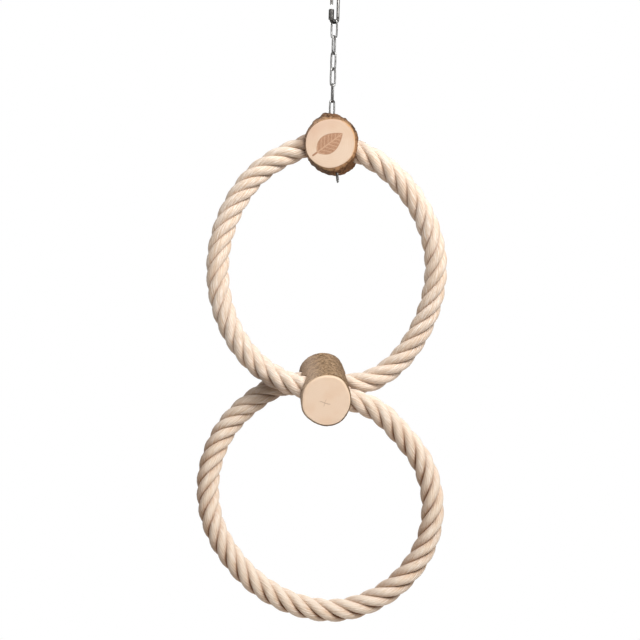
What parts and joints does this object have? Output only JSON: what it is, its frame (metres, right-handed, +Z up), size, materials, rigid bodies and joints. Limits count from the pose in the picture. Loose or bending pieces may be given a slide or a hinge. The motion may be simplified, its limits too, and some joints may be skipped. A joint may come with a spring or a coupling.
{
  "type": "hanging bird swing",
  "caption": "Hanging bird swing: thick twisted rope in a figure of eight through a branch perch, its ends held in a bark-edged branch slice that hangs on a chain with a screw quick link.",
  "frame": {"origin": "inside of the quick link's top bow, where a hook or bar carries the part", "axes": "+Z up along the chain, +X to the right in the picture, +Y away from the viewer, through the rings"},
  "size_m": [0.2717, 0.0893, 0.6911],
  "materials": {
    "zinc_steel": "bright zinc-plated steel, slightly worn",
    "nickel_steel": "bright nickel-plated wire",
    "nail_steel": "plain steel wire nail",
    "slice_wood": "sanded pale branch wood with rough brown bark",
    "barrel_wood": "sanded pale branch wood with fine grey-brown bark",
    "cotton_rope": "four-strand natural fibre rope, matt"
  },
  "bodies": {
    "quick_link": {"quick_link_body": "zinc_steel"},
    "sleeve_nut": {"quick_link_nut": "zinc_steel"},
    "link_01": {"chain_link_01": "nickel_steel"},
    "link_02": {"chain_link_02": "nickel_steel"},
    "link_03": {"chain_link_03": "nickel_steel"},
    "link_04": {"chain_link_04": "nickel_steel"},
    "link_05": {"chain_link_05": "nickel_steel"},
    "link_06": {"chain_link_06": "nickel_steel"},
    "swing": {"top_slice": "slice_wood", "chain_pin": "nail_steel", "rope": "cotton_rope", "rope_nail_left": "nail_steel", "rope_nail_right": "nail_steel", "perch_barrel": "barrel_wood", "barrel_nail_front": "nail_steel", "barrel_nail_rear": "nail_steel", "chain_link_07": "nickel_steel", "chain_link_08": "nickel_steel", "chain_link_09": "nickel_steel"},
    "tail_link": {"chain_link_10": "nickel_steel"}
  },
  "joints": [
    {"name": "sleeve_nut_travel", "type": "slide", "parent": "quick_link", "child": "sleeve_nut", "axis": [0, 0, 1], "range_m": [0, 0.008]},
    {"name": "link_01_swing", "type": "hinge", "parent": "quick_link", "child": "link_01", "pos_m": [0, 0, -0.0307], "axis": [0.5446, 0.8387, 0], "range_deg": [-25, 25]},
    {"name": "link_02_swing", "type": "hinge", "parent": "link_01", "child": "link_02", "pos_m": [0, 0, -0.0476], "axis": [-0.9613, 0.2756, 0], "range_deg": [-25, 25]},
    {"name": "link_03_swing", "type": "hinge", "parent": "link_02", "child": "link_03", "pos_m": [0, 0, -0.0652], "axis": [0.4384, 0.8988, 0], "range_deg": [-25, 25]},
    {"name": "link_04_swing", "type": "hinge", "parent": "link_03", "child": "link_04", "pos_m": [0, 0, -0.0828], "axis": [-0.7547, 0.6561, 0], "range_deg": [-25, 25]},
    {"name": "link_05_swing", "type": "hinge", "parent": "link_04", "child": "link_05", "pos_m": [0, 0, -0.1004], "axis": [0.788, 0.6157, 0], "range_deg": [-20, 20]},
    {"name": "link_06_swing", "type": "hinge", "parent": "link_05", "child": "link_06", "pos_m": [0, 0, -0.118], "axis": [-0.2079, 0.9781, 0], "range_deg": [-20, 20]},
    {"name": "swing_swing", "type": "hinge", "parent": "link_06", "child": "swing", "pos_m": [0, 0, -0.1356], "axis": [0.788, 0.6157, 0], "range_deg": [-25, 25]},
    {"name": "tail_link_swing", "type": "hinge", "parent": "swing", "child": "tail_link", "pos_m": [0.00643, 0, -0.18801], "axis": [0.9925, 0, 0.1219], "range_deg": [-8, 8]}
  ]
}
